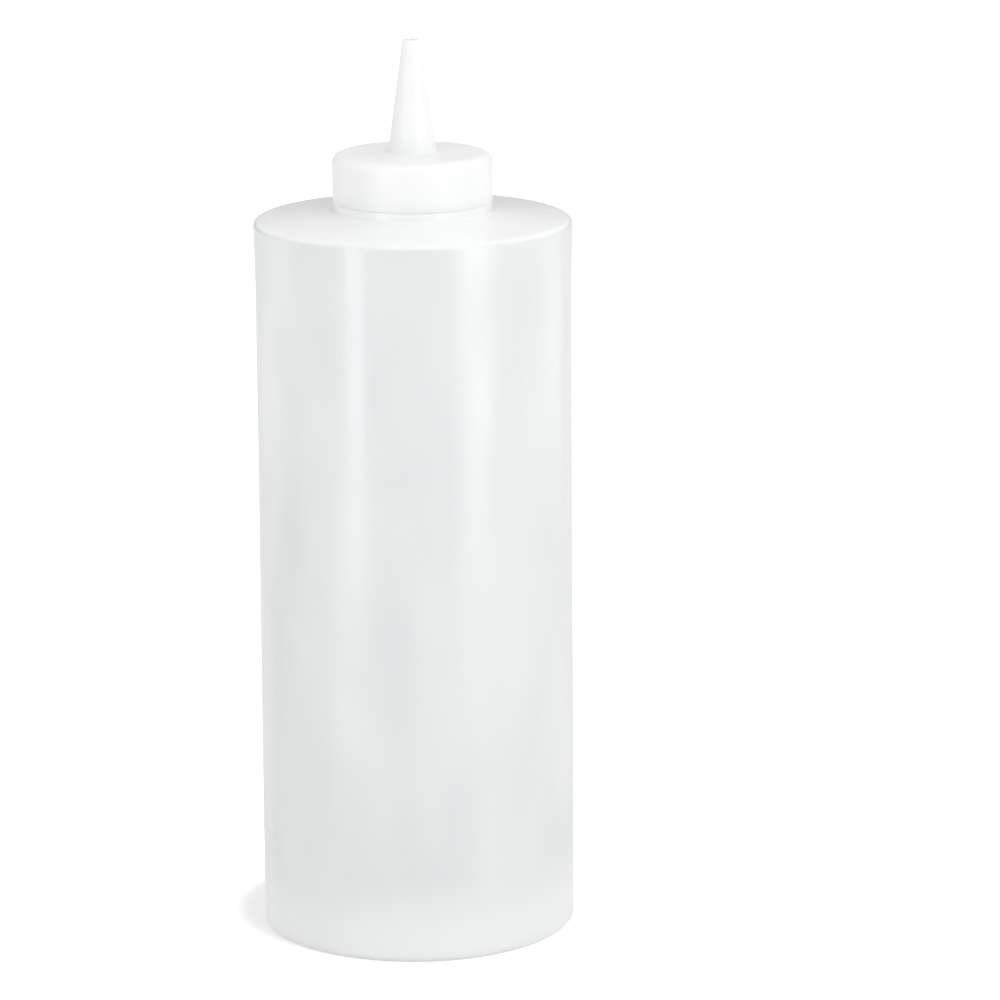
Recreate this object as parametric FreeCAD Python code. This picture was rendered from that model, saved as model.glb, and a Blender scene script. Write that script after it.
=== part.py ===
import FreeCAD, Part

# Kitchen squeeze bottle: a blown bottle with a screw neck, and its moulded cone-tip cap.
# Millimetres, +Z up. The bottle stands on z = 0, and the Z axis is the axis of both pieces.
# Each piece is one solid: half its section is revolved about Z, and its thread is wound on.

import math
import os

# Bottle, outside
BODY_RADIUS = 38.0  # at the top of the wall: 3 inches across
HEEL_SPREAD = 0.3  # the foot of the wall stands out this much further
WALL_HEIGHT = 174.6
WALL_SINK = 0.4  # the long wall draws in this much at mid height
SHOULDER_EDGE_ROUND = 2.0
SHOULDER_RISE = 1.9  # from the top of the wall up to the collar
HEEL_ROUND = 2.6

# Bottle, thickness of the blown wall
WALL = 1.1
SHOULDER_WALL = 1.3
FLOOR = 1.5
SHOULDER_INNER_ROUND = 3.2
HEEL_INNER_ROUND = 3.6

# Base: a raised panel inside the ring that the bottle stands on
STANDING_RING_WIDTH = 3.6
PUSH_UP = 2.2
PUSH_UP_SLOPE_WIDTH = 5.0
PUSH_UP_ROUND = 2.0

# Neck
NECK_BORE_RADIUS = 15.1
NECK_WALL = 1.75
NECK_HEIGHT = 10.5  # from the collar to the lip
NECK_ROOT_ROUND = 1.6  # inside, where the shoulder turns up into the neck
LIP_ROUND = 0.5
COLLAR_STEP = 1.55  # the collar stands out this much from the neck
COLLAR_HEIGHT = 2.1
COLLAR_FILLET = 0.6

# Screw thread: right-handed, one helix for the ridge on the neck and the ridge in the cap
THREAD_PITCH = 4.2
THREAD_DEPTH = 1.1
THREAD_ROOT_WIDTH = 2.3
THREAD_CREST_WIDTH = 1.0
NECK_THREAD_TURNS = 1.25
CAP_THREAD_TURNS = 1.0
THREAD_END_MARGIN = 0.8  # plain wall above the neck's ridge, and below the cap's
THREAD_RADIAL_CLEARANCE = 0.15  # from each crest to the wall it faces
THREAD_FLANK_CLEARANCE = 0.1  # along the axis, between the flanks that pull the cap down
THREAD_BITE = 0.3  # a ridge is rooted this deep in its wall

# Cap
SKIRT_WALL = 1.1
SKIRT_FOOT_GAP = 0.4  # between the foot of the skirt and the collar
SKIRT_FOOT_ROUND = 0.3
DECK = 1.5
DECK_EDGE_ROUND = 2.3

# Cone tip
CONE_HEIGHT = 27.0
CONE_BASE_RADIUS = 5.8
CONE_BASE_FILLET = 0.9
CONE_WALL = 1.3  # at the deck
CONE_MOUTH_ROUND = 1.0
TIP_RADIUS = 2.1
TIP_BORE_RADIUS = 1.2
TIP_ROUND = 0.35

FULL_TURN = 360
AXIS = FreeCAD.Vector(0, 0, 1)
ORIGIN = FreeCAD.Vector(0, 0, 0)

# What the outline does at a corner of a section, where it isn't rounded by a radius
SHARP = "sharp"
BOWED = "bowed"  # it bends gently over most of both lines
BOWED_SHARE = 0.9

# Heights of the stack, from the foot of the wall up
COLLAR_FOOT = WALL_HEIGHT + SHOULDER_RISE
COLLAR_TOP = COLLAR_FOOT + COLLAR_HEIGHT
SKIRT_FOOT = COLLAR_TOP + SKIRT_FOOT_GAP
LIP = COLLAR_TOP + NECK_HEIGHT  # the cap's deck closes on it
DECK_TOP = LIP + DECK
TIP = DECK_TOP + CONE_HEIGHT

# Radii of the screw fit, from the bore out
NECK_RADIUS = NECK_BORE_RADIUS + NECK_WALL
COLLAR_RADIUS = NECK_RADIUS + COLLAR_STEP
SKIRT_INNER_RADIUS = NECK_RADIUS + THREAD_DEPTH + THREAD_RADIAL_CLEARANCE
SKIRT_RADIUS = SKIRT_INNER_RADIUS + SKIRT_WALL


def point(radius, height):
    """A point of a half section."""
    return FreeCAD.Vector(radius, 0, height)


def turned_corner(before, corner, after, turn):
    """Where the outline leaves its line at a corner, where it joins the next, and the edges between."""
    if turn == SHARP:
        return corner, corner, []
    if turn == BOWED:
        return bowed_corner(before, corner, after)
    return rounded_corner(before, corner, after, turn)


def bowed_corner(before, corner, after):
    """A turned corner that is a parabola, halfway between the corner and the line past it."""
    start = corner + (before - corner) * BOWED_SHARE
    end = corner + (after - corner) * BOWED_SHARE
    bow = Part.BezierCurve()
    bow.setPoles([start, corner, end])
    return start, end, [bow.toShape()]


def rounded_corner(before, corner, after, radius):
    """A turned corner that is an arc."""
    to_before = (before - corner).normalize()
    to_after = (after - corner).normalize()
    half_angle = to_before.getAngle(to_after) / 2
    setback = radius / math.tan(half_angle)
    inward = (to_before + to_after).normalize()
    centre = corner + inward * (radius / math.sin(half_angle))
    start = corner + to_before * setback
    end = corner + to_after * setback
    return start, end, [Part.Arc(start, centre - inward * radius, end).toShape()]


def revolved(section):
    """Solid of revolution about Z. A section is a ring of corners: radius, height, and how it turns."""
    corners = [point(radius, height) for radius, height, _ in section]
    befores = corners[-1:] + corners[:-1]
    afters = corners[1:] + corners[:1]
    ways = [way for _, _, way in section]
    turns = [turned_corner(*corner) for corner in zip(befores, corners, afters, ways)]
    edges = [edge for _, _, between in turns for edge in between]
    for (_, line_start, _), (line_end, _, _) in zip(turns, turns[1:] + turns[:1]):
        edges.append(Part.LineSegment(line_start, line_end).toShape())
    outline = Part.Wire(Part.sortEdges(edges)[0])
    return Part.Face(outline).revolve(ORIGIN, AXIS, FULL_TURN)


def thread_ridge(wall_radius, outward, start_height, phase_height, turns):
    """A ridge wound on a cylinder wall, from start_height up.

    outward is 1 on a neck and -1 inside a cap. The ridge lies on the helix whose middle passes
    through phase_height at the +X side.
    """
    flank_slope = (THREAD_ROOT_WIDTH - THREAD_CREST_WIDTH) / 2 / THREAD_DEPTH
    rooted_radius = wall_radius - outward * THREAD_BITE
    rooted_half = THREAD_ROOT_WIDTH / 2 + flank_slope * THREAD_BITE
    crest_radius = wall_radius + outward * THREAD_DEPTH
    crest_half = THREAD_CREST_WIDTH / 2
    corners = [
        point(rooted_radius, -rooted_half),
        point(crest_radius, -crest_half),
        point(crest_radius, crest_half),
        point(rooted_radius, rooted_half),
    ]
    sweep = Part.BRepOffsetAPI.MakePipeShell(Part.makeHelix(THREAD_PITCH, THREAD_PITCH * turns, wall_radius))
    sweep.setFrenetMode(True)
    sweep.add(Part.makePolygon(corners + corners[:1]))
    sweep.build()
    sweep.makeSolid()
    ridge = sweep.shape()
    ridge.rotate(ORIGIN, AXIS, FULL_TURN * (start_height - phase_height) / THREAD_PITCH)
    ridge.translate(AXIS * start_height)
    return ridge


def neck_thread_start():
    """Height of the middle of the neck's ridge at its lower end."""
    upper_end = LIP - THREAD_END_MARGIN - THREAD_ROOT_WIDTH / 2
    return upper_end - THREAD_PITCH * NECK_THREAD_TURNS


def make_bottle():
    """The bottle in one hollow solid: base, wall, shoulder, collar and threaded neck."""
    heel_radius = BODY_RADIUS + HEEL_SPREAD
    # The bowed wall passes halfway between this corner and the straight line from heel to shoulder.
    waist_radius = (BODY_RADIUS + heel_radius) / 2 - 2 * WALL_SINK
    waist = WALL_HEIGHT / 2
    ring_inner = heel_radius - HEEL_ROUND - STANDING_RING_WIDTH
    panel_radius = ring_inner - PUSH_UP_SLOPE_WIDTH
    outside = [
        (0, PUSH_UP, SHARP),
        (panel_radius, PUSH_UP, PUSH_UP_ROUND),
        (ring_inner, 0, PUSH_UP_ROUND),
        (heel_radius, 0, HEEL_ROUND),
        (waist_radius, waist, BOWED),
        (BODY_RADIUS, WALL_HEIGHT, SHOULDER_EDGE_ROUND),
        (COLLAR_RADIUS, COLLAR_FOOT, COLLAR_FILLET),
        (COLLAR_RADIUS, COLLAR_TOP, LIP_ROUND),
        (NECK_RADIUS, COLLAR_TOP, SHARP),
        (NECK_RADIUS, LIP, LIP_ROUND),
    ]
    inside = [
        (NECK_BORE_RADIUS, LIP, LIP_ROUND),
        (NECK_BORE_RADIUS, COLLAR_FOOT - SHOULDER_WALL, NECK_ROOT_ROUND),
        (BODY_RADIUS - WALL, WALL_HEIGHT - SHOULDER_WALL, SHOULDER_INNER_ROUND),
        (waist_radius - WALL, waist, BOWED),
        (heel_radius - WALL, FLOOR, HEEL_INNER_ROUND),
        (ring_inner, FLOOR, PUSH_UP_ROUND),
        (panel_radius, PUSH_UP + FLOOR, PUSH_UP_ROUND),
        (0, PUSH_UP + FLOOR, SHARP),
    ]
    start = neck_thread_start()
    ridge = thread_ridge(NECK_RADIUS, 1, start, start, NECK_THREAD_TURNS)
    return revolved(outside + inside).fuse(ridge)


def make_cap():
    """The cap in one solid: skirt with its inner thread, deck and hollow cone tip."""
    section = [
        (TIP_BORE_RADIUS, TIP, SHARP),
        (TIP_RADIUS, TIP, TIP_ROUND),
        (CONE_BASE_RADIUS, DECK_TOP, CONE_BASE_FILLET),
        (SKIRT_RADIUS, DECK_TOP, DECK_EDGE_ROUND),
        (SKIRT_RADIUS, SKIRT_FOOT, SKIRT_FOOT_ROUND),
        (SKIRT_INNER_RADIUS, SKIRT_FOOT, SKIRT_FOOT_ROUND),
        (SKIRT_INNER_RADIUS, LIP, SHARP),
        (CONE_BASE_RADIUS - CONE_WALL, LIP, CONE_MOUTH_ROUND),
    ]
    # The cap's ridge runs just under the neck's, flank to flank.
    under_neck_ridge = (THREAD_ROOT_WIDTH + THREAD_CREST_WIDTH) / 2 + THREAD_FLANK_CLEARANCE
    phase = neck_thread_start() - under_neck_ridge
    start = SKIRT_FOOT + THREAD_END_MARGIN + THREAD_ROOT_WIDTH / 2
    ridge = thread_ridge(SKIRT_INNER_RADIUS, -1, start, phase, CAP_THREAD_TURNS)
    return revolved(section).fuse(ridge)


def main():
    """Writes each piece to parts/NODE.step."""
    os.makedirs("parts", exist_ok=True)
    pieces = {"bottle": make_bottle(), "cap": make_cap()}
    for node, piece in pieces.items():
        piece.exportStep(os.path.join("parts", node + ".step"))
        print(node, "valid:", piece.isValid(), "solids:", len(piece.Solids), "mm3:", round(piece.Volume))


main()
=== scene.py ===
"""Looks of the kitchen squeeze bottle: a blown, milky-clear bottle under a white cone-tip cap."""

import logging
import math
from dataclasses import dataclass, field
from enum import Enum
from typing import Callable, Sequence

import bpy
from mathutils import Euler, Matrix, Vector, noise


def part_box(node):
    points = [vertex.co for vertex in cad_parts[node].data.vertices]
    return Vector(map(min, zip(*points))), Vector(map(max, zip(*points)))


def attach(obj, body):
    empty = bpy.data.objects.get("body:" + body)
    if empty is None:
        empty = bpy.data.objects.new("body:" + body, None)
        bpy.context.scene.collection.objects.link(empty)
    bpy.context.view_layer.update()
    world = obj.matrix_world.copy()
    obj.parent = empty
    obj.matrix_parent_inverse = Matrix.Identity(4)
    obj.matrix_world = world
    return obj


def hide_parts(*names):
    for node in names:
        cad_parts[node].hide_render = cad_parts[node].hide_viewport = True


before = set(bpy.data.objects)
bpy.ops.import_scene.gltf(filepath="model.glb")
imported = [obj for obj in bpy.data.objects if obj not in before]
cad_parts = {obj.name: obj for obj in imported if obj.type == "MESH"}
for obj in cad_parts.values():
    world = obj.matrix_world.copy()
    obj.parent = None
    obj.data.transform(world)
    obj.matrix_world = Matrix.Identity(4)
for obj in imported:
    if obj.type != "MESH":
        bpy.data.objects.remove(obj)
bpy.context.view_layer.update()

MM = 0.001
TURN = 2 * math.pi
BODY = "root"
WHITE = (1.0, 1.0, 1.0, 1.0)
THREAD_STEP = 0.25 * MM
LOG = logging.getLogger("squeeze_bottle")


class Zone(Enum):
    """The surface of a piece that a stretch of its outline belongs to."""

    BASE = "base"
    WALL = "wall"
    SHOULDER = "shoulder"
    THREADED = "threaded"
    PLAIN = "plain"
    INNER_WALL = "inner wall"
    INNER = "inner"


@dataclass(frozen=True)
class Corner:
    """A corner of a lathe outline, in metres, and the stretch that leaves it.

    rounding is the radius of the arc that turns the corner, and step is the longest distance
    between the rings of the stretch after it.
    """

    radius: float
    height: float
    rounding: float
    zone: Zone
    step: float = 3 * MM


@dataclass(frozen=True)
class Ring:
    """One ring of a lathed skin, in metres."""

    radius: float
    height: float
    zone: Zone


Warp = Callable[[float, Ring], tuple[float, float]]


def srgb(code: str) -> tuple[float, float, float, float]:
    """Turns an sRGB hex colour into a linear colour.

    Args:
        code: the colour as six hex digits after a hash sign.

    Returns:
        Linear red, green and blue, and an alpha of 1.
    """
    channels = [int(code[i : i + 2], 16) / 255 for i in (1, 3, 5)]
    linear = [c / 12.92 if c <= 0.04045 else ((c + 0.055) / 1.055) ** 2.4 for c in channels]
    return (*linear, 1.0)


def smooth(share: float) -> float:
    """Eases a share, held between 0 and 1, in and out."""
    held = min(max(share, 0.0), 1.0)
    return held * held * (3 - 2 * held)


def add_node(
    tree: bpy.types.NodeTree,
    kind: str,
    values: dict | None = None,
    links: dict | None = None,
    **settings: object,
) -> bpy.types.Node:
    """Adds a node with its settings, its input values and its links.

    A Mix node's inputs share their names, so they go by number: 0 is the factor, 2 and 3 are the
    two floats, and 6 and 7 are the two colours.

    Args:
        tree: the node tree that takes the node.
        kind: the node's type name.
        values: input name or number to the value it holds.
        links: input name or number to the socket that feeds it.
        **settings: the node's own properties.

    Returns:
        The new node.
    """
    node = tree.nodes.new(kind)
    for name, setting in settings.items():
        setattr(node, name, setting)
    for name, value in (values or {}).items():
        node.inputs[name].default_value = value
    for name, socket in (links or {}).items():
        tree.links.new(socket, node.inputs[name])
    return node


def empty_material(name: str) -> bpy.types.Material:
    """Makes a material whose node tree is bare.

    Args:
        name: the material's name.

    Returns:
        The new material.
    """
    material = bpy.data.materials.new(name)
    material.use_nodes = True
    material.node_tree.nodes.clear()
    return material


class Lathe:
    """Turns an outline about the Z axis into one closed skin."""

    def __init__(self, corners: Sequence[Corner], angles: Sequence[float], arc_steps: int = 7) -> None:
        """Keeps the outline and the angles.

        Args:
            corners: the outline's corners in order, either a closed loop off the axis, or a chain
                that starts and ends on the axis.
            angles: the angle of each column of vertices, rising from 0 to under a full turn.
            arc_steps: how many rings turn a rounded corner.
        """
        self.corners = corners
        self.angles = angles
        self.arc_steps = arc_steps
        self.on_axis = corners[0].radius == 0

    def _arc(self, index: int) -> list[Vector]:
        """Points that turn one corner, as (radius, height).

        Args:
            index: the corner's place in the outline.

        Returns:
            The arc's points in order, or the corner itself where it is sharp.
        """
        corner = self.corners[index]
        here = Vector((corner.radius, corner.height))
        if corner.rounding == 0:
            return [here]
        before = self.corners[index - 1]
        after = self.corners[(index + 1) % len(self.corners)]
        back = (Vector((before.radius, before.height)) - here).normalized()
        ahead = (Vector((after.radius, after.height)) - here).normalized()
        half = back.angle(ahead) / 2
        centre = here + (back + ahead).normalized() * (corner.rounding / math.sin(half))
        start = here + back * (corner.rounding / math.tan(half)) - centre
        sweep = start.angle_signed(here + ahead * (corner.rounding / math.tan(half)) - centre)
        points = []
        for step in range(self.arc_steps + 1):
            turned = -sweep * step / self.arc_steps
            spoke = Vector((
                start.x * math.cos(turned) - start.y * math.sin(turned),
                start.x * math.sin(turned) + start.y * math.cos(turned),
            ))
            points.append(centre + spoke)
        return points

    def rings(self) -> list[Ring]:
        """Samples the outline.

        Returns:
            The rings in order, close enough together for the step of each stretch.
        """
        arcs = [self._arc(index) for index in range(len(self.corners))]
        rings = []
        last = len(self.corners) - (1 if self.on_axis else 0)
        for index in range(last):
            corner = self.corners[index]
            rings += [Ring(point.x, point.y, corner.zone) for point in arcs[index]]
            start, end = arcs[index][-1], arcs[(index + 1) % len(arcs)][0]
            pieces = max(1, math.ceil((end - start).length / corner.step))
            for piece in range(1, pieces):
                point = start.lerp(end, piece / pieces)
                rings.append(Ring(point.x, point.y, corner.zone))
        if self.on_axis:
            end = self.corners[-1]
            rings.append(Ring(end.radius, end.height, end.zone))
        return rings

    def skin(self, name: str, warp: Warp) -> bpy.types.Object:
        """Builds the mesh.

        Args:
            name: the object's name.
            warp: gives the radius and height of a vertex from its angle and ring.

        Returns:
            The new object, smooth shaded, with its normals outwards.
        """
        vertices: list[tuple[float, float, float]] = []
        rows: list[list[int]] = []
        for ring in self.rings():
            first = len(vertices)
            if ring.radius == 0:
                vertices.append((0.0, 0.0, warp(0.0, ring)[1]))
                rows.append([first] * len(self.angles))
                continue
            for angle in self.angles:
                radius, height = warp(angle, ring)
                vertices.append((radius * math.cos(angle), radius * math.sin(angle), height))
            rows.append(list(range(first, len(vertices))))
        if not self.on_axis:
            rows.append(rows[0])
        faces = []
        for lower, upper in zip(rows, rows[1:]):
            for column in range(len(self.angles)):
                after = (column + 1) % len(self.angles)
                corners = [lower[column], lower[after], upper[after], upper[column]]
                faces.append(list(dict.fromkeys(corners)))
        mesh = bpy.data.meshes.new(name)
        mesh.from_pydata(vertices, [], faces)
        mesh.shade_smooth()
        mesh.validate()
        piece = bpy.data.objects.new(name, mesh)
        bpy.context.scene.collection.objects.link(piece)
        return piece


@dataclass(frozen=True)
class Thread:
    """A right-handed screw ridge on a cylinder wall, in metres.

    start is the height at which the ridge begins, and phase is the height of its middle line at
    angle 0. run_out is the share of a turn over which it tapers at each end.
    """

    start: float
    phase: float
    turns: float
    pitch: float = 4.2 * MM
    depth: float = 1.1 * MM
    root_width: float = 2.3 * MM
    crest_width: float = 1.0 * MM
    run_out: float = 0.09

    def height_at(self, angle: float, height: float) -> float:
        """How far the ridge stands off its wall.

        Args:
            angle: angle about the axis, from +X.
            height: height above the base.

        Returns:
            The ridge's height over the wall, which tapers to nothing at both ends.
        """
        # The ridge can pass an angle on several laps, counted from the one that crosses phase.
        laps = range(-2, 4)
        first_turn = (self.start - self.phase) / self.pitch
        flank = (self.root_width - self.crest_width) / 2
        tallest = 0.0
        for lap in laps:
            turn = angle / TURN + lap
            along = turn - first_turn
            if not 0 <= along <= self.turns:
                continue
            off_middle = abs(height - self.phase - self.pitch * turn)
            rise = smooth((self.root_width / 2 - off_middle) / flank)
            taper = smooth(min(along, self.turns - along) / self.run_out)
            tallest = max(tallest, rise * taper * self.depth)
        return tallest


def even_angles(count: int) -> list[float]:
    """Angles of evenly spaced columns."""
    return [TURN * column / count for column in range(count)]


def angles_with_seams(count: int, seams: Sequence[float], offsets: Sequence[float]) -> list[float]:
    """Even columns with extra ones close to each seam.

    Args:
        count: number of even columns.
        seams: angles of the seams.
        offsets: angles to either side of a seam that get a column of their own.

    Returns:
        All angles in rising order, with no two nearly the same.
    """
    # An even column within this reach would crowd the seam's own columns.
    reach = 1.5 * max(offsets)
    kept = []
    for angle in even_angles(count):
        away = min(abs((angle - seam + TURN / 2) % TURN - TURN / 2) for seam in seams)
        if away > reach:
            kept.append(angle)
    for seam in seams:
        kept += [(seam + side * offset) % TURN for offset in offsets for side in (-1, 1)]
        kept.append(seam % TURN)
    return sorted(kept)


@dataclass(frozen=True)
class BlownLdpe:
    """Natural low-density polyethylene, blow-moulded.

    Unpigmented LDPE is milky: light passes through it and what is behind stays hidden. Where the
    parison stretched more, the wall is a little clearer and cooler, in soft upright patches, and
    the thick shoulder and heel are the whitest. The wax-like skin has a soft gloss, with faint
    upright die lines and the even orange peel of a sand-blasted mould.
    """

    colour: str = "#FEFFFD"
    clear_colour: str = "#F8FCFC"
    absorbed: str = "#D2DEDA"
    absorption: float = 12.0
    ior: float = 1.51
    milkiest: float = 0.19
    clearest: float = 0.32
    patch_width: float = 26 * MM
    patch_height: float = 70 * MM
    patch_shift: float = 19.0
    patch_span: tuple[float, float] = (0.3, 0.7)
    shoulder_share: float = 0.085
    shoulder_reach: float = 1.4 * MM
    shoulder_fade: float = 1.6 * MM
    heel_share: float = 0.17
    heel_top: float = 27 * MM
    heel_fade: float = 23 * MM
    coat: float = 1.0
    coat_roughness: float = 0.22
    smoothest: float = 0.32
    roughest: float = 0.40
    cloud_size: float = 28 * MM
    cloud_span: tuple[float, float] = (0.35, 0.65)
    # Die lines lie about 0.4 mm apart and the mould's grit is 0.2 mm: both are drawn coarser, or
    # they wouldn't show at all.
    die_line_spacing: float = 1.6 * MM
    die_line_stretch: float = 60.0
    peel_size: float = 0.9 * MM
    peel_share: float = 0.35
    relief: float = 0.05 * MM
    relief_strength: float = 0.35

    def _relief(self, tree: bpy.types.NodeTree, place: bpy.types.NodeSocket) -> bpy.types.NodeSocket:
        """Bends the skin's normal by the die lines and the orange peel.

        Args:
            tree: the material's node tree.
            place: the socket with the position on the object.

        Returns:
            The socket with the bent normal.
        """
        across = 1 / self.die_line_spacing
        drawn_out = add_node(
            tree,
            "ShaderNodeMapping",
            {"Scale": (across, across, across / self.die_line_stretch)},
            {"Vector": place},
        )
        die_lines = add_node(
            tree,
            "ShaderNodeTexNoise",
            {"Scale": 1.0, "Detail": 1.0},
            {"Vector": drawn_out.outputs["Vector"]},
        )
        peel = add_node(
            tree,
            "ShaderNodeTexNoise",
            {"Scale": 1 / self.peel_size, "Detail": 0.0},
            {"Vector": place},
        )
        both = add_node(
            tree,
            "ShaderNodeMix",
            {0: self.peel_share},
            {2: die_lines.outputs["Fac"], 3: peel.outputs["Fac"]},
            data_type="FLOAT",
        )
        bump = add_node(
            tree,
            "ShaderNodeBump",
            {"Strength": self.relief_strength, "Distance": self.relief},
            {"Height": both.outputs[0]},
        )
        return bump.outputs["Normal"]

    def _see_through(
        self, tree: bpy.types.NodeTree, place: bpy.types.NodeSocket, wall_top: float
    ) -> bpy.types.NodeSocket:
        """Works out how much light passes the skin: patches on the wall, less at both ends.

        Args:
            tree: the material's node tree.
            place: the socket with the position on the object.
            wall_top: height at which the wall turns into the shoulder.

        Returns:
            The socket with the share of light that passes.
        """
        height = add_node(tree, "ShaderNodeSeparateXYZ", links={"Vector": place}).outputs["Z"]
        stretched = add_node(
            tree,
            "ShaderNodeMapping",
            {
                "Location": (self.patch_shift, 0.0, 0.0),
                "Scale": (1 / self.patch_width, 1 / self.patch_width, 1 / self.patch_height),
            },
            {"Vector": place},
        )
        patches = add_node(
            tree,
            "ShaderNodeTexNoise",
            {"Scale": 1.0, "Detail": 2.0, "Roughness": 0.6},
            {"Vector": stretched.outputs["Vector"]},
        )
        low, high = self.patch_span
        share = add_node(
            tree,
            "ShaderNodeMapRange",
            {"From Min": low, "From Max": high, "To Min": self.milkiest, "To Max": self.clearest},
            {"Value": patches.outputs["Fac"]},
        ).outputs["Result"]
        shoulder_foot = wall_top - self.shoulder_reach
        for start, end, least in (
            (self.heel_top - self.heel_fade, self.heel_top, self.heel_share),
            (shoulder_foot + self.shoulder_fade, shoulder_foot, self.shoulder_share),
        ):
            ramp = add_node(
                tree,
                "ShaderNodeMapRange",
                {"From Min": start, "From Max": end, "To Min": least, "To Max": self.clearest},
                {"Value": height},
                interpolation_type="SMOOTHSTEP",
            ).outputs["Result"]
            share = add_node(
                tree, "ShaderNodeMath", links={0: share, 1: ramp}, operation="MINIMUM"
            ).outputs[0]
        return share

    def material(self, wall_top: float) -> bpy.types.Material:
        """Builds the material.

        Args:
            wall_top: height at which the wall turns into the shoulder.

        Returns:
            The new material.
        """
        material = empty_material("natural_LDPE_blow_moulded")
        tree = material.node_tree
        place = add_node(tree, "ShaderNodeTexCoord").outputs["Object"]
        clouds = add_node(
            tree,
            "ShaderNodeTexNoise",
            {"Scale": 1 / self.cloud_size, "Detail": 3.0, "Roughness": 0.5},
            {"Vector": place},
        )
        low, high = self.cloud_span
        gloss = add_node(
            tree,
            "ShaderNodeMapRange",
            {"From Min": low, "From Max": high, "To Min": self.smoothest, "To Max": self.roughest},
            {"Value": clouds.outputs["Fac"]},
        )
        share = self._see_through(tree, place, wall_top)
        clearness = add_node(
            tree, "ShaderNodeMath", {1: self.clearest}, {0: share}, operation="DIVIDE"
        )
        colour = add_node(
            tree,
            "ShaderNodeMix",
            {6: srgb(self.colour), 7: srgb(self.clear_colour)},
            {0: clearness.outputs[0]},
            data_type="RGBA",
        )
        shader = add_node(
            tree,
            "ShaderNodeBsdfPrincipled",
            {"IOR": self.ior, "Coat Weight": self.coat, "Coat Roughness": self.coat_roughness},
            {
                "Base Color": colour.outputs[2],
                "Roughness": gloss.outputs["Result"],
                "Normal": self._relief(tree, place),
                "Transmission Weight": share,
            },
        )
        depth = add_node(
            tree,
            "ShaderNodeVolumeAbsorption",
            {"Color": srgb(self.absorbed), "Density": self.absorption},
        )
        add_node(
            tree,
            "ShaderNodeOutputMaterial",
            links={"Surface": shader.outputs["BSDF"], "Volume": depth.outputs["Volume"]},
        )
        return material


@dataclass(frozen=True)
class MouldedLdpe:
    """White low-density polyethylene, injection-moulded.

    Titanium white in soft LDPE gives a bright, slightly waxy cap with a broad, weak gloss. Light
    goes a little way in, which softens the edges of the skirt and cone. The fine spark-eroded
    grain of the mould takes the shine off.
    """

    colour: str = "#F4F5F4"
    shaded_colour: str = "#EDEFEE"
    ior: float = 1.51
    smoothest: float = 0.34
    roughest: float = 0.44
    depth: float = 1.2 * MM
    scatter: float = 0.35
    cloud_size: float = 9 * MM
    cloud_span: tuple[float, float] = (0.35, 0.65)
    # The real grain is under 0.1 mm: it is drawn coarser, so that it shows.
    grain_size: float = 0.5 * MM
    relief: float = 0.03 * MM
    relief_strength: float = 0.3

    def material(self) -> bpy.types.Material:
        """Builds the material.

        Returns:
            The new material.
        """
        material = empty_material("white_LDPE_injection_moulded")
        tree = material.node_tree
        place = add_node(tree, "ShaderNodeTexCoord").outputs["Object"]
        clouds = add_node(
            tree,
            "ShaderNodeTexNoise",
            {"Scale": 1 / self.cloud_size, "Detail": 2.0},
            {"Vector": place},
        )
        colour = add_node(
            tree,
            "ShaderNodeMix",
            {6: srgb(self.colour), 7: srgb(self.shaded_colour)},
            {0: clouds.outputs["Fac"]},
            data_type="RGBA",
        )
        low, high = self.cloud_span
        gloss = add_node(
            tree,
            "ShaderNodeMapRange",
            {"From Min": low, "From Max": high, "To Min": self.smoothest, "To Max": self.roughest},
            {"Value": clouds.outputs["Fac"]},
        )
        grain = add_node(
            tree,
            "ShaderNodeTexNoise",
            {"Scale": 1 / self.grain_size, "Detail": 1.0},
            {"Vector": place},
        )
        bump = add_node(
            tree,
            "ShaderNodeBump",
            {"Strength": self.relief_strength, "Distance": self.relief},
            {"Height": grain.outputs["Fac"]},
        )
        shader = add_node(
            tree,
            "ShaderNodeBsdfPrincipled",
            {
                "IOR": self.ior,
                "Subsurface Weight": self.scatter,
                "Subsurface Radius": (1.0, 1.0, 1.0),
                "Subsurface Scale": self.depth,
            },
            {
                "Base Color": colour.outputs[2],
                "Roughness": gloss.outputs["Result"],
                "Normal": bump.outputs["Normal"],
            },
        )
        add_node(tree, "ShaderNodeOutputMaterial", links={"Surface": shader.outputs["BSDF"]})
        return material


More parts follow.
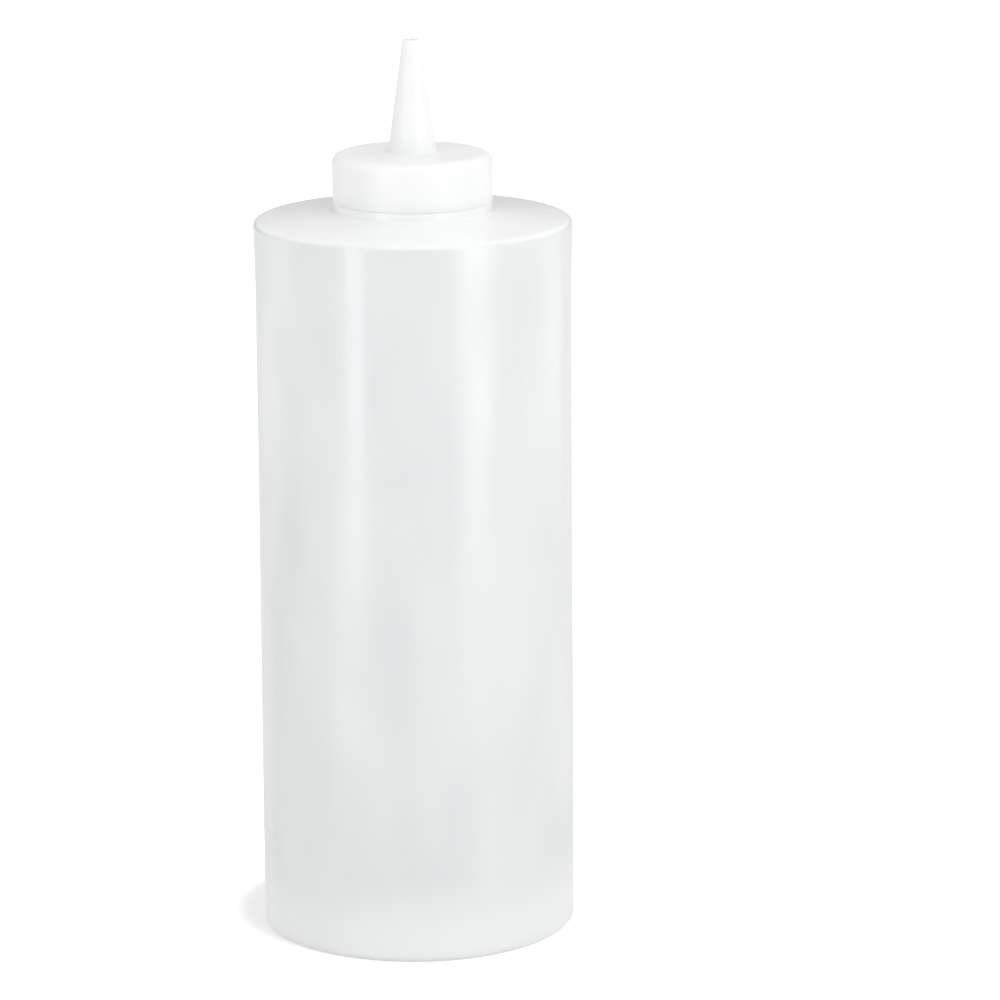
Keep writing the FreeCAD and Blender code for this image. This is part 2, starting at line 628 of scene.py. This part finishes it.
@dataclass
class Bottle:
    """The blown bottle: base, wall, shoulder, collar and threaded neck in one skin."""

    body_radius: float = 38.25 * MM
    wall_sink: float = 0.24 * MM
    sink_top: float = 16 * MM
    sink_foot: float = 20 * MM
    sink_fade: float = 110 * MM
    shoulder_rise: float = 1.9 * MM
    shoulder_edge: float = 1.5 * MM
    heel_edge: float = 1.8 * MM
    wall: float = 1.1 * MM
    shoulder_wall: float = 1.3 * MM
    floor: float = 1.5 * MM
    inner_shoulder_edge: float = 3.2 * MM
    inner_heel_edge: float = 3.6 * MM
    ring_width: float = 3.6 * MM
    push_up: float = 2.2 * MM
    push_up_slope: float = 5.0 * MM
    push_up_edge: float = 2.0 * MM
    neck_bore: float = 15.1 * MM
    neck_wall: float = 1.75 * MM
    neck_height: float = 10.5 * MM
    neck_root: float = 1.6 * MM
    lip_edge: float = 0.5 * MM
    collar_step: float = 2.2 * MM
    collar_height: float = 2.1 * MM
    skirt_gap: float = 0.03 * MM
    collar_fillet: float = 1.0 * MM
    collar_edge: float = 0.06 * MM
    thread_margin: float = 0.8 * MM
    thread_turns: float = 1.25
    seam_angle: float = math.radians(12)
    seam_width: float = 0.3 * MM
    seam_height: float = 0.05 * MM
    weld_width: float = 0.5 * MM
    weld_height: float = 0.35 * MM
    weld_length: float = 34 * MM
    weld_end: float = 2 * MM
    unevenness: float = 0.12 * MM
    unevenness_length: float = 30 * MM
    ripple: float = 0.05 * MM
    ripple_length: float = 45 * MM
    ripple_fade: float = 8 * MM
    seam_fade: float = 4 * MM
    seam_shoulder_fade: float = 6 * MM
    seam_shoulder_share: float = 0.5
    columns: int = 240
    finish: BlownLdpe = BlownLdpe()
    lip: float = field(init=False)
    collar_foot: float = field(init=False)
    collar_rim: float = field(init=False)
    wall_top: float = field(init=False)
    neck_radius: float = field(init=False)
    thread: Thread = field(init=False)

    def __post_init__(self) -> None:
        """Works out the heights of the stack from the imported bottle."""
        self.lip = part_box("bottle")[1].z
        self.collar_foot = self.lip - self.neck_height - self.collar_height
        self.wall_top = self.collar_foot - self.shoulder_rise
        self.collar_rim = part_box("cap")[0].z - self.skirt_gap
        self.neck_radius = self.neck_bore + self.neck_wall
        start = self.lip - self.thread_margin - Thread.root_width / 2 - Thread.pitch * self.thread_turns
        self.thread = Thread(start=start, phase=start, turns=self.thread_turns)

    def outline(self) -> list[Corner]:
        """Draws the bottle's section, from the middle of its underside out, up, and back inside.

        Returns:
            The corners in order.
        """
        ring_inner = self.body_radius - self.heel_edge - self.ring_width
        panel = ring_inner - self.push_up_slope
        collar = self.neck_radius + self.collar_step
        weld_step, shoulder_step, neck_step = 1.2 * MM, 2 * MM, 1 * MM
        return [
            Corner(0, self.push_up, 0, Zone.BASE, weld_step),
            Corner(panel, self.push_up, self.push_up_edge, Zone.BASE),
            Corner(ring_inner, 0, self.push_up_edge, Zone.BASE),
            Corner(self.body_radius, 0, self.heel_edge, Zone.WALL),
            Corner(self.body_radius, self.wall_top, self.shoulder_edge, Zone.SHOULDER, shoulder_step),
            Corner(collar, self.collar_foot, self.collar_fillet, Zone.PLAIN, neck_step),
            Corner(collar, self.collar_rim, self.collar_edge, Zone.PLAIN, neck_step),
            Corner(self.neck_radius, self.collar_rim, 0, Zone.THREADED, THREAD_STEP),
            Corner(self.neck_radius, self.lip, self.lip_edge, Zone.PLAIN, neck_step),
            Corner(self.neck_bore, self.lip, self.lip_edge, Zone.INNER),
            Corner(self.neck_bore, self.collar_foot - self.shoulder_wall, self.neck_root, Zone.INNER),
            Corner(
                self.body_radius - self.wall,
                self.wall_top - self.shoulder_wall,
                self.inner_shoulder_edge,
                Zone.INNER_WALL,
            ),
            Corner(self.body_radius - self.wall, self.floor, self.inner_heel_edge, Zone.INNER),
            Corner(ring_inner, self.floor, self.push_up_edge, Zone.INNER),
            Corner(panel, self.push_up + self.floor, self.push_up_edge, Zone.INNER),
            Corner(0, self.push_up + self.floor, 0, Zone.INNER),
        ]

    def _bow(self, height: float) -> float:
        """How far the long wall draws in at a height."""
        below_rim = smooth((self.wall_top - height) / self.sink_top)
        return self.wall_sink * below_rim * smooth((height - self.sink_foot) / self.sink_fade)

    def _seam(self, angle: float, radius: float) -> float:
        """Height of the mould's parting line over the skin at an angle."""
        away = abs((angle - self.seam_angle + TURN / 4) % (TURN / 2) - TURN / 4) * radius
        return self.seam_height * smooth(1 - away / self.seam_width)

    def _weld(self, angle: float, radius: float) -> float:
        """Height of the pinched weld across the underside.

        Args:
            angle: angle about the axis, from +X.
            radius: distance from the axis.

        Returns:
            How far the weld stands off the base panel.
        """
        along = radius * math.cos(angle - self.seam_angle)
        across = radius * math.sin(angle - self.seam_angle)
        ends = smooth((self.weld_length / 2 - abs(along)) / self.weld_end)
        return self.weld_height * ends * math.exp(-((across / self.weld_width) ** 2))

    def warp(self, angle: float, ring: Ring) -> tuple[float, float]:
        """Places one vertex of the skin.

        Args:
            angle: the vertex's angle about the axis.
            ring: the ring it lies on.

        Returns:
            Its radius and height.
        """
        radius, height = ring.radius, ring.height
        spot = Vector((radius * math.cos(angle), radius * math.sin(angle), height))
        if ring.zone is Zone.BASE:
            return radius, height - self._weld(angle, radius) * (height > self.push_up / 2)
        if ring.zone is Zone.WALL:
            sway = self.ripple * (0.5 + 0.5 * noise.noise(spot / self.ripple_length))
            hold = smooth(height / self.ripple_fade)
            hold *= smooth((self.wall_top - height) / self.ripple_fade)
            seam = self._seam(angle, radius) * smooth(height / self.seam_fade)
            return radius - self._bow(height) - sway * hold - self.seam_height + seam, height
        if ring.zone is Zone.SHOULDER:
            shed = smooth((radius - self.neck_radius) / self.seam_shoulder_fade)
            seam = self._seam(angle, radius) * shed * self.seam_shoulder_share
            return radius - self.seam_height * shed, height + seam
        if ring.zone is Zone.THREADED:
            return radius + self.thread.height_at(angle, height), height
        if ring.zone is Zone.INNER_WALL:
            thick = self.unevenness * noise.noise(spot / self.unevenness_length)
            return radius - self._bow(height) - thick, height
        return radius, height

    def build(self) -> bpy.types.Object:
        """Returns:
            The bottle.
        """
        half_seam = 0.5 * self.seam_width / self.body_radius
        offsets = [half_seam, self.seam_width / self.body_radius]
        seams = [self.seam_angle, self.seam_angle + TURN / 2]
        lathe = Lathe(self.outline(), angles_with_seams(self.columns, seams, offsets))
        piece = lathe.skin("squeeze_bottle", self.warp)
        piece.data.materials.append(self.finish.material(self.wall_top))
        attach(piece, BODY)
        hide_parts("bottle")
        return piece


@dataclass
class Cap:
    """The screw cap: skirt with its inner thread, deck and hollow cone tip in one skin."""

    skirt_radius: float = 19.2 * MM
    skirt_wall: float = 1.1 * MM
    skirt_foot_edge: float = 0.1 * MM
    deck: float = 1.5 * MM
    deck_edge: float = 2.3 * MM
    cone_height: float = 27.0 * MM
    cone_base: float = 5.8 * MM
    cone_fillet: float = 0.9 * MM
    cone_wall: float = 1.3 * MM
    mouth_edge: float = 1.0 * MM
    tip_radius: float = 2.1 * MM
    tip_bore: float = 1.2 * MM
    tip_edge: float = 0.35 * MM
    thread_margin: float = 0.8 * MM
    thread_turns: float = 1.0
    flank_clearance: float = 0.1 * MM
    columns: int = 192
    finish: MouldedLdpe = MouldedLdpe()
    foot: float = field(init=False)
    tip: float = field(init=False)
    deck_top: float = field(init=False)
    seat: float = field(init=False)

    def __post_init__(self) -> None:
        """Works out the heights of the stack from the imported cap."""
        low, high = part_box("cap")
        self.foot = low.z
        self.tip = high.z
        self.deck_top = self.tip - self.cone_height
        self.seat = self.deck_top - self.deck

    def outline(self) -> list[Corner]:
        """Draws the cap's section, from the tip's bore down the outside and up the inside.

        Returns:
            The corners in order.
        """
        inner = self.skirt_radius - self.skirt_wall
        rim_step, face_step = 0.3 * MM, 2 * MM
        return [
            Corner(self.tip_bore, self.tip, 0, Zone.PLAIN, rim_step),
            Corner(self.tip_radius, self.tip, self.tip_edge, Zone.PLAIN, face_step),
            Corner(self.cone_base, self.deck_top, self.cone_fillet, Zone.PLAIN),
            Corner(self.skirt_radius, self.deck_top, self.deck_edge, Zone.PLAIN, face_step),
            Corner(self.skirt_radius, self.foot, self.skirt_foot_edge, Zone.PLAIN, rim_step),
            Corner(inner, self.foot, self.skirt_foot_edge, Zone.THREADED, THREAD_STEP),
            Corner(inner, self.seat, 0, Zone.INNER),
            Corner(self.cone_base - self.cone_wall, self.seat, self.mouth_edge, Zone.INNER),
        ]

    def build(self, neck_thread: Thread) -> bpy.types.Object:
        """Args:
            neck_thread: the ridge on the neck, which the cap's own ridge runs under.

        Returns:
            The cap.
        """
        drop = (Thread.root_width + Thread.crest_width) / 2 + self.flank_clearance
        start = self.foot + self.thread_margin + Thread.root_width / 2
        thread = Thread(start=start, phase=neck_thread.phase - drop, turns=self.thread_turns)

        def warp(angle: float, ring: Ring) -> tuple[float, float]:
            """Places one vertex: only the threaded wall leaves its ring.

            Args:
                angle: the vertex's angle about the axis.
                ring: the ring it lies on.

            Returns:
                Its radius and height.
            """
            if ring.zone is Zone.THREADED:
                return ring.radius - thread.height_at(angle, ring.height), ring.height
            return ring.radius, ring.height

        piece = Lathe(self.outline(), even_angles(self.columns)).skin("cone_tip_cap", warp)
        piece.data.materials.append(self.finish.material())
        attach(piece, BODY)
        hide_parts("cap")
        return piece


@dataclass(frozen=True)
class Softbox:
    """A soft lamp that faces a point on the object's axis.

    Azimuth 0 is the camera's side, and a positive one is to its right. The power follows from
    the radiance and the lamp's area.
    """

    name: str
    azimuth_deg: float
    width: float
    radiance: float
    height: float = 0.56
    elevation_deg: float = 0.0
    distance: float = 0.5
    aim_height: float = 0.28

    def place(self) -> bpy.types.Object:
        """Adds the lamp.

        Returns:
            The lamp on its stand, hidden from the camera.
        """
        lamp = bpy.data.lights.new(self.name, "AREA")
        lamp.shape = "RECTANGLE"
        lamp.size = self.width
        lamp.size_y = self.height
        lamp.energy = self.radiance * math.pi * self.width * self.height
        stand = bpy.data.objects.new(self.name, lamp)
        turn = math.radians(self.azimuth_deg)
        rise = math.radians(self.elevation_deg)
        level = math.cos(rise)
        away = Vector((math.sin(turn) * level, -math.cos(turn) * level, math.sin(rise)))
        stand.location = Vector((0, 0, self.aim_height)) + away * self.distance
        stand.rotation_euler = away.to_track_quat("Z", "Y").to_euler()
        stand.visible_camera = False
        bpy.context.scene.collection.objects.link(stand)
        return stand


@dataclass(frozen=True)
class SkyRamp:
    """How the sky's strength changes along one axis of the direction it is seen in."""

    axis: str
    start: float
    end: float
    strength_at_start: float
    strength_at_end: float


@dataclass(frozen=True)
class Studio:
    """A white sweep under soft light, with the camera a little above the shoulder."""

    floor_size: float = 8.0
    paper: str = "#EBEBEB"
    paper_seen: str = "#BFBFBF"
    paper_mirrored: float = 0.86
    # Painted light: the camera-only glow is weak near the foot and white further out. Its middle sits
    # back and to the left of the foot, so it paints the foot's shadow out to white at the front and
    # right and leaves it at the left.
    paper_glow_near: float = 0.42
    paper_glow_far: float = 1.0
    paper_glow_reach: tuple[float, float] = (0.036, 0.047)
    paper_glow_middle: tuple[float, float, float] = (-0.006, 0.007, 0.0)
    sky: tuple[SkyRamp, ...] = (
        SkyRamp("X", start=-1.0, end=1.0, strength_at_start=1.13, strength_at_end=1.45),
        SkyRamp("Y", start=-1.0, end=0.2, strength_at_start=0.70, strength_at_end=0.95),
        SkyRamp("Z", start=0.0, end=0.35, strength_at_start=0.34, strength_at_end=0.7),
    )
    camera_distance: float = 1.1391
    camera_elevation_deg: float = 13.756
    aim_height: float = 0.1
    pan_deg: float = -1.0275
    tilt_deg: float = 0.26
    roll_deg: float = -0.574
    lens: float = 168.86
    sensor_width: float = 36.0
    softboxes: tuple[Softbox, ...] = (
        Softbox("strip_left", azimuth_deg=-42, width=0.12, radiance=2.8),
        Softbox("strip_right", azimuth_deg=42, width=0.2, radiance=1.85),
        Softbox("side_left", azimuth_deg=-98, width=0.6, height=0.6, radiance=0.22, aim_height=0.3),
        Softbox("side_right", azimuth_deg=98, width=0.6, height=0.6, radiance=0.38, aim_height=0.3),
        Softbox(
            "overhead_front",
            azimuth_deg=8,
            elevation_deg=56,
            width=1.0,
            height=0.8,
            radiance=0.57,
            distance=0.9,
            aim_height=0.15,
        ),
    )

    def light(self) -> None:
        """Adds the lamps and the sky, which is plain white to the camera."""
        for softbox in self.softboxes:
            softbox.place()
        world = bpy.data.worlds.new("white_studio")
        bpy.context.scene.world = world
        world.use_nodes = True
        tree = world.node_tree
        tree.nodes.clear()
        path = add_node(tree, "ShaderNodeLightPath")
        direction = add_node(tree, "ShaderNodeTexCoord").outputs["Generated"]
        split = add_node(tree, "ShaderNodeSeparateXYZ", links={"Vector": direction})
        factors = [
            add_node(
                tree,
                "ShaderNodeMapRange",
                {
                    "From Min": ramp.start,
                    "From Max": ramp.end,
                    "To Min": ramp.strength_at_start,
                    "To Max": ramp.strength_at_end,
                },
                {"Value": split.outputs[ramp.axis]},
                interpolation_type="SMOOTHSTEP",
            ).outputs["Result"]
            for ramp in self.sky
        ]
        shade = factors[0]
        for factor in factors[1:]:
            shade = add_node(
                tree, "ShaderNodeMath", links={0: shade, 1: factor}, operation="MULTIPLY"
            ).outputs[0]
        strength = add_node(
            tree,
            "ShaderNodeMix",
            {3: 1.0},
            {0: path.outputs["Is Camera Ray"], 2: shade},
            data_type="FLOAT",
        )
        glow = add_node(
            tree, "ShaderNodeBackground", {"Color": WHITE}, {"Strength": strength.outputs[0]}
        )
        add_node(tree, "ShaderNodeOutputWorld", links={"Surface": glow.outputs["Background"]})

    def paper_sweep(self) -> bpy.types.Material:
        """Builds the floor's paper.

        It lights the object as plain white paper. The camera sees it darker by its own light and
        lifted by a glow, which fills up to white a little way out from the object's foot. The glow
        is painted light: it is weakest in a disc whose middle sits a little back and to the left of
        the foot, so the foot's real shadow stays at the left and behind, and at the front and right
        the glow paints the contact shadow out to white. Reflections see a plain white.

        Returns:
            The new material.
        """
        material = empty_material("white_paper_sweep")
        tree = material.node_tree
        path = add_node(tree, "ShaderNodeLightPath")
        tone = add_node(
            tree,
            "ShaderNodeMix",
            {6: srgb(self.paper), 7: srgb(self.paper_seen)},
            {0: path.outputs["Is Camera Ray"]},
            data_type="RGBA",
        )
        paper = add_node(tree, "ShaderNodeBsdfDiffuse", links={"Color": tone.outputs[2]})
        place = add_node(tree, "ShaderNodeTexCoord").outputs["Object"]
        away = add_node(
            tree,
            "ShaderNodeVectorMath",
            {1: self.paper_glow_middle},
            {0: place},
            operation="DISTANCE",
        )
        near, far = self.paper_glow_reach
        amount = add_node(
            tree,
            "ShaderNodeMapRange",
            {
                "From Min": near,
                "From Max": far,
                "To Min": self.paper_glow_near,
                "To Max": self.paper_glow_far,
            },
            {"Value": away.outputs["Value"]},
            interpolation_type="SMOOTHSTEP",
        )
        seen = add_node(
            tree,
            "ShaderNodeMath",
            links={0: path.outputs["Is Camera Ray"], 1: amount.outputs["Result"]},
            operation="MULTIPLY",
        )
        glow = add_node(
            tree, "ShaderNodeEmission", {"Color": WHITE}, {"Strength": seen.outputs[0]}
        )
        lit = add_node(
            tree,
            "ShaderNodeAddShader",
            links={0: paper.outputs["BSDF"], 1: glow.outputs["Emission"]},
        )
        reflected = add_node(
            tree,
            "ShaderNodeMath",
            links={0: path.outputs["Is Glossy Ray"], 1: path.outputs["Is Transmission Ray"]},
            operation="MAXIMUM",
        )
        mirrored = add_node(
            tree, "ShaderNodeEmission", {"Color": WHITE, "Strength": self.paper_mirrored}
        )
        blend = add_node(
            tree,
            "ShaderNodeMixShader",
            links={
                0: reflected.outputs[0],
                1: lit.outputs["Shader"],
                2: mirrored.outputs["Emission"],
            },
        )
        add_node(tree, "ShaderNodeOutputMaterial", links={"Surface": blend.outputs["Shader"]})
        return material

    def lay_floor(self) -> bpy.types.Object:
        """Returns:
            The floor.
        """
        half = self.floor_size / 2
        corners = [(-half, -half, 0), (half, -half, 0), (half, half, 0), (-half, half, 0)]
        mesh = bpy.data.meshes.new("studio_floor")
        mesh.from_pydata(corners, [], [(0, 1, 2, 3)])
        mesh.materials.append(self.paper_sweep())
        floor = bpy.data.objects.new("studio_floor", mesh)
        bpy.context.scene.collection.objects.link(floor)
        return floor

    def aim_camera(self) -> bpy.types.Object:
        """Sets up the camera in front of the object, which it holds left of the middle.

        Returns:
            The camera.
        """
        camera = bpy.data.objects.new("camera", bpy.data.cameras.new("camera"))
        bpy.context.scene.collection.objects.link(camera)
        bpy.context.scene.camera = camera
        camera.data.lens = self.lens
        camera.data.sensor_width = self.sensor_width
        rise = math.radians(self.camera_elevation_deg)
        offset = Vector((0, -math.cos(rise), math.sin(rise))) * self.camera_distance
        camera.location = Vector((0, 0, self.aim_height)) + offset
        look = (-offset).to_track_quat("-Z", "Y").to_matrix()
        turns = [math.radians(turn) for turn in (self.tilt_deg, self.pan_deg, self.roll_deg)]
        camera.rotation_euler = (look @ Euler(turns, "XYZ").to_matrix()).to_euler()
        return camera

    def build(self) -> None:
        """Sets the stage."""
        bpy.context.scene.view_settings.view_transform = "Standard"
        self.light()
        self.lay_floor()
        self.aim_camera()


def main() -> None:
    """Builds the object and its studio."""
    logging.basicConfig(level=logging.INFO, format="%(name)s: %(message)s")
    Studio().build()
    bottle = Bottle()
    cap = Cap()
    for piece in (bottle.build(), cap.build(bottle.thread)):
        LOG.info("%s: %d faces, %s", piece.name, len(piece.data.polygons), tuple(piece.dimensions))


if __name__ == "__main__":
    main()
